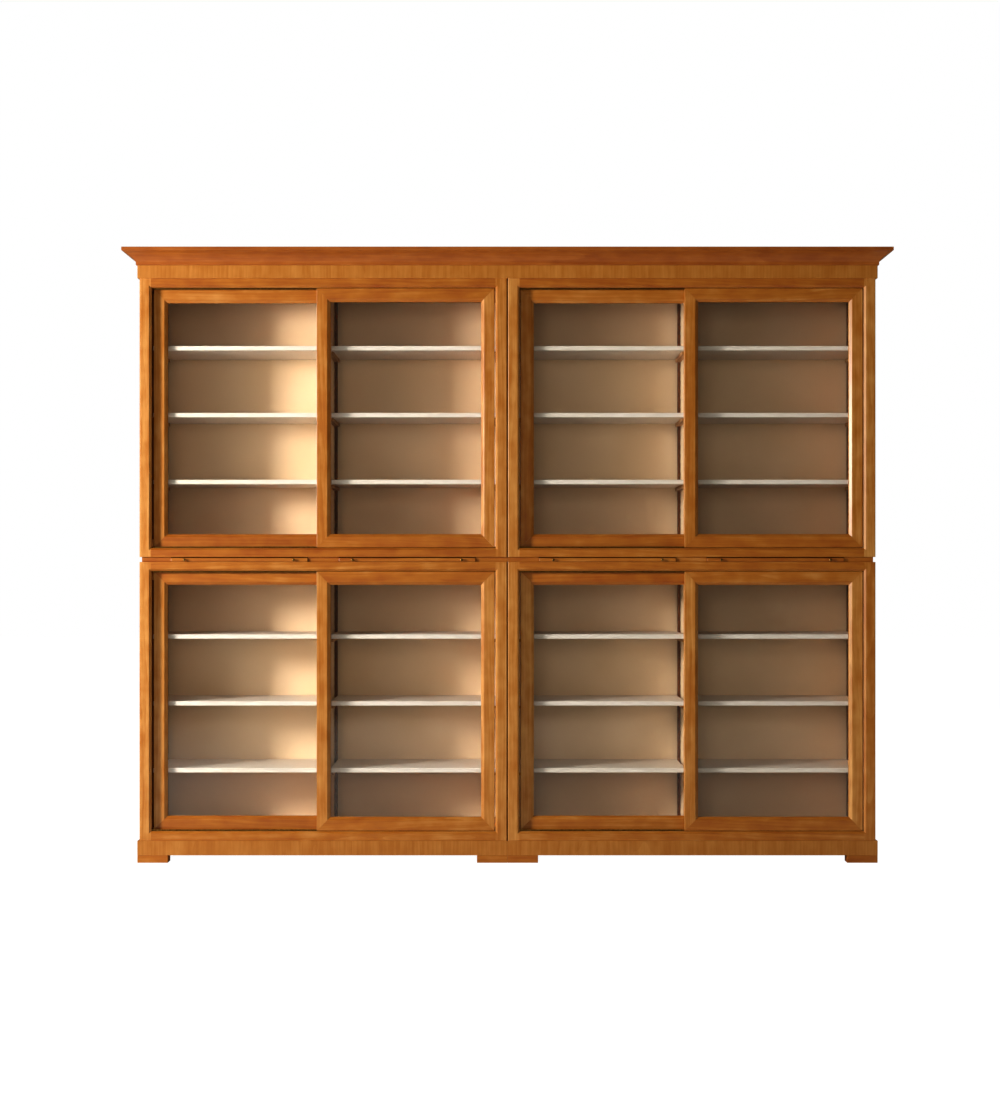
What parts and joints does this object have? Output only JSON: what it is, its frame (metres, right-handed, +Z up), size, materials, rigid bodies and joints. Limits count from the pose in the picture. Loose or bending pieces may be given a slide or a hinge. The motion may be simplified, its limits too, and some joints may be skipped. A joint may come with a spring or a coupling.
{
  "type": "glazed library bookcase",
  "caption": "Cherry library bookcase of stacked cases with bypass sliding glass doors, notched shelf standards, pull-out reading boards, frieze, crown and plinth.",
  "frame": {"origin": "centre of the bounding box at floor level, under the feet", "axes": "+Z up, +X along the width to the right seen from the front, the front faces -Y"},
  "size_m": [3.062, 0.457, 2.452],
  "materials": {
    "cherry": "solid cherry, satin lacquer",
    "cherry_veneer": "vertical-grain cherry veneer, satin lacquer",
    "cream_lacquer": "board sprayed with cream satin lacquer",
    "dark_wood": "dark stained hardwood",
    "glass": "clear float glass",
    "track_metal": "drawn brass strip",
    "knob_brass": "turned brass, aged",
    "backer": "plain board"
  },
  "bodies": {
    "root": {"upper_left_side_panels": "cherry", "upper_left_top_and_bottom": "cherry", "upper_left_back_panel": "cream_lacquer", "upper_left_centre_divider": "cream_lacquer", "upper_left_face_frame": "cherry", "upper_left_shelves": "cream_lacquer", "upper_right_side_panels": "cherry", "upper_right_top_and_bottom": "cherry", "upper_right_back_panel": "cream_lacquer", "upper_right_centre_divider": "cream_lacquer", "upper_right_face_frame": "cherry", "upper_right_shelves": "cream_lacquer", "lower_left_side_panels": "cherry", "lower_left_top_and_bottom": "cherry", "lower_left_back_panel": "cream_lacquer", "lower_left_centre_divider": "cream_lacquer", "lower_left_face_frame": "cherry", "lower_left_shelves": "cream_lacquer", "lower_right_side_panels": "cherry", "lower_right_top_and_bottom": "cherry", "lower_right_back_panel": "cream_lacquer", "lower_right_centre_divider": "cream_lacquer", "lower_right_face_frame": "cherry", "lower_right_shelves": "cream_lacquer", "shelf_standards": "dark_wood", "shelf_cleats": "dark_wood", "door_tracks": "track_metal", "left_band_frame": "cherry", "right_band_frame": "cherry", "frieze": "cherry_veneer", "crown_moulding": "cherry", "cornice_top_board": "backer", "left_plinth": "cherry_veneer", "right_plinth": "cherry_veneer", "block_feet": "cherry"},
    "upper_left_rear_door": {"upper_left_rear_door_frame": "cherry", "upper_left_rear_door_glass": "glass"},
    "upper_left_front_door": {"upper_left_front_door_frame": "cherry", "upper_left_front_door_glass": "glass"},
    "upper_right_rear_door": {"upper_right_rear_door_frame": "cherry", "upper_right_rear_door_glass": "glass"},
    "upper_right_front_door": {"upper_right_front_door_frame": "cherry", "upper_right_front_door_glass": "glass"},
    "lower_left_rear_door": {"lower_left_rear_door_frame": "cherry", "lower_left_rear_door_glass": "glass"},
    "lower_left_front_door": {"lower_left_front_door_frame": "cherry", "lower_left_front_door_glass": "glass"},
    "lower_right_rear_door": {"lower_right_rear_door_frame": "cherry", "lower_right_rear_door_glass": "glass"},
    "lower_right_front_door": {"lower_right_front_door_frame": "cherry", "lower_right_front_door_glass": "glass"},
    "left_column_left_reading_board": {"left_column_left_reading_board": "cherry", "left_column_left_reading_board_knobs": "knob_brass"},
    "left_column_right_reading_board": {"left_column_right_reading_board": "cherry", "left_column_right_reading_board_knobs": "knob_brass"},
    "right_column_left_reading_board": {"right_column_left_reading_board": "cherry", "right_column_left_reading_board_knobs": "knob_brass"},
    "right_column_right_reading_board": {"right_column_right_reading_board": "cherry", "right_column_right_reading_board_knobs": "knob_brass"}
  },
  "joints": [
    {"name": "upper_left_rear_door_slide", "type": "slide", "parent": "root", "child": "upper_left_rear_door", "axis": [1, 0, 0], "range_m": [0, 0.655]},
    {"name": "upper_left_front_door_slide", "type": "slide", "parent": "root", "child": "upper_left_front_door", "axis": [-1, 0, 0], "range_m": [0, 0.655]},
    {"name": "upper_right_rear_door_slide", "type": "slide", "parent": "root", "child": "upper_right_rear_door", "axis": [1, 0, 0], "range_m": [0, 0.655]},
    {"name": "upper_right_front_door_slide", "type": "slide", "parent": "root", "child": "upper_right_front_door", "axis": [-1, 0, 0], "range_m": [0, 0.655]},
    {"name": "lower_left_rear_door_slide", "type": "slide", "parent": "root", "child": "lower_left_rear_door", "axis": [1, 0, 0], "range_m": [0, 0.655]},
    {"name": "lower_left_front_door_slide", "type": "slide", "parent": "root", "child": "lower_left_front_door", "axis": [-1, 0, 0], "range_m": [0, 0.655]},
    {"name": "lower_right_rear_door_slide", "type": "slide", "parent": "root", "child": "lower_right_rear_door", "axis": [1, 0, 0], "range_m": [0, 0.655]},
    {"name": "lower_right_front_door_slide", "type": "slide", "parent": "root", "child": "lower_right_front_door", "axis": [-1, 0, 0], "range_m": [0, 0.655]},
    {"name": "left_column_left_reading_board_slide", "type": "slide", "parent": "root", "child": "left_column_left_reading_board", "axis": [0, -1, 0], "range_m": [0, 0.24]},
    {"name": "left_column_right_reading_board_slide", "type": "slide", "parent": "root", "child": "left_column_right_reading_board", "axis": [0, -1, 0], "range_m": [0, 0.24]},
    {"name": "right_column_left_reading_board_slide", "type": "slide", "parent": "root", "child": "right_column_left_reading_board", "axis": [0, -1, 0], "range_m": [0, 0.24]},
    {"name": "right_column_right_reading_board_slide", "type": "slide", "parent": "root", "child": "right_column_right_reading_board", "axis": [0, -1, 0], "range_m": [0, 0.24]}
  ]
}
